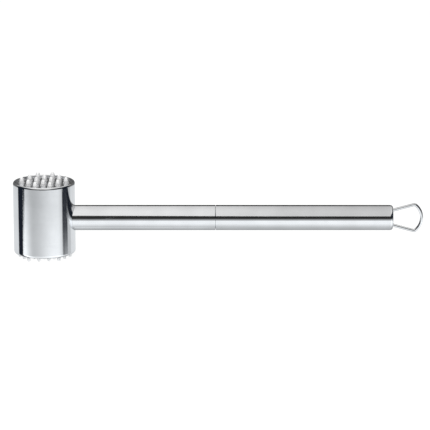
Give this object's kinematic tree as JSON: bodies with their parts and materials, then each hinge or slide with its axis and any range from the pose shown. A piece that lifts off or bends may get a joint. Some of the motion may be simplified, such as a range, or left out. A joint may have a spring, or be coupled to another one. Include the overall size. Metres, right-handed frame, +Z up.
{
  "type": "meat mallet",
  "caption": "Stainless steel meat mallet with a studded round head, coarse and fine faces, a level tubular handle and a swinging wire hanging loop.",
  "frame": {"origin": "under the middle of the bounding box, on the plane of the fine stud tips that the head stands on; the head's axis is at x = -0.1274 m and the handle's axis is at z = 0.0296 m", "axes": "+X along the handle from the head to the hanging loop, +Z up the head's axis from the fine face to the coarse face, +Y across the handle"},
  "size_m": [0.3, 0.0452, 0.06],
  "materials": {
    "head_steel": "stainless steel polished to a mirror, with faint turning marks round the head",
    "stud_steel": "turned stainless steel, tumbled bright",
    "handle_steel": "stainless steel tube with a fine lengthwise polish",
    "wire_steel": "bright drawn stainless steel wire",
    "machined_steel": "plain machined stainless steel, as it leaves the lathe"
  },
  "bodies": {
    "mallet": {"head_barrel": "head_steel", "head_core": "machined_steel", "coarse_face": "head_steel", "fine_face": "head_steel", "coarse_stud_1": "stud_steel", "coarse_stud_2": "stud_steel", "coarse_stud_3": "stud_steel", "coarse_stud_4": "stud_steel", "coarse_stud_5": "stud_steel", "coarse_stud_6": "stud_steel", "coarse_stud_7": "stud_steel", "coarse_stud_8": "stud_steel", "coarse_stud_9": "stud_steel", "coarse_stud_10": "stud_steel", "coarse_stud_11": "stud_steel", "coarse_stud_12": "stud_steel", "coarse_stud_13": "stud_steel", "coarse_stud_14": "stud_steel", "fine_stud_1": "stud_steel", "fine_stud_2": "stud_steel", "fine_stud_3": "stud_steel", "fine_stud_4": "stud_steel", "fine_stud_5": "stud_steel", "fine_stud_6": "stud_steel", "fine_stud_7": "stud_steel", "fine_stud_8": "stud_steel", "fine_stud_9": "stud_steel", "fine_stud_10": "stud_steel", "fine_stud_11": "stud_steel", "fine_stud_12": "stud_steel", "fine_stud_13": "stud_steel", "fine_stud_14": "stud_steel", "fine_stud_15": "stud_steel", "fine_stud_16": "stud_steel", "fine_stud_17": "stud_steel", "fine_stud_18": "stud_steel", "fine_stud_19": "stud_steel", "fine_stud_20": "stud_steel", "fine_stud_21": "stud_steel", "fine_stud_22": "stud_steel", "fine_stud_23": "stud_steel", "fine_stud_24": "stud_steel", "neck_tube": "handle_steel", "neck_plug": "machined_steel", "neck_lock_washer": "machined_steel", "neck_stud": "machined_steel", "coupling_spigot": "machined_steel", "grip_tube": "handle_steel", "end_cup": "machined_steel"},
    "loop": {"hanging_loop": "wire_steel"}
  },
  "joints": [
    {"name": "loop_swing", "type": "hinge", "parent": "mallet", "child": "loop", "pos_m": [0.1233, 0, 0.0296], "axis": [0, 0, 1], "range_deg": [-24, 24]}
  ]
}
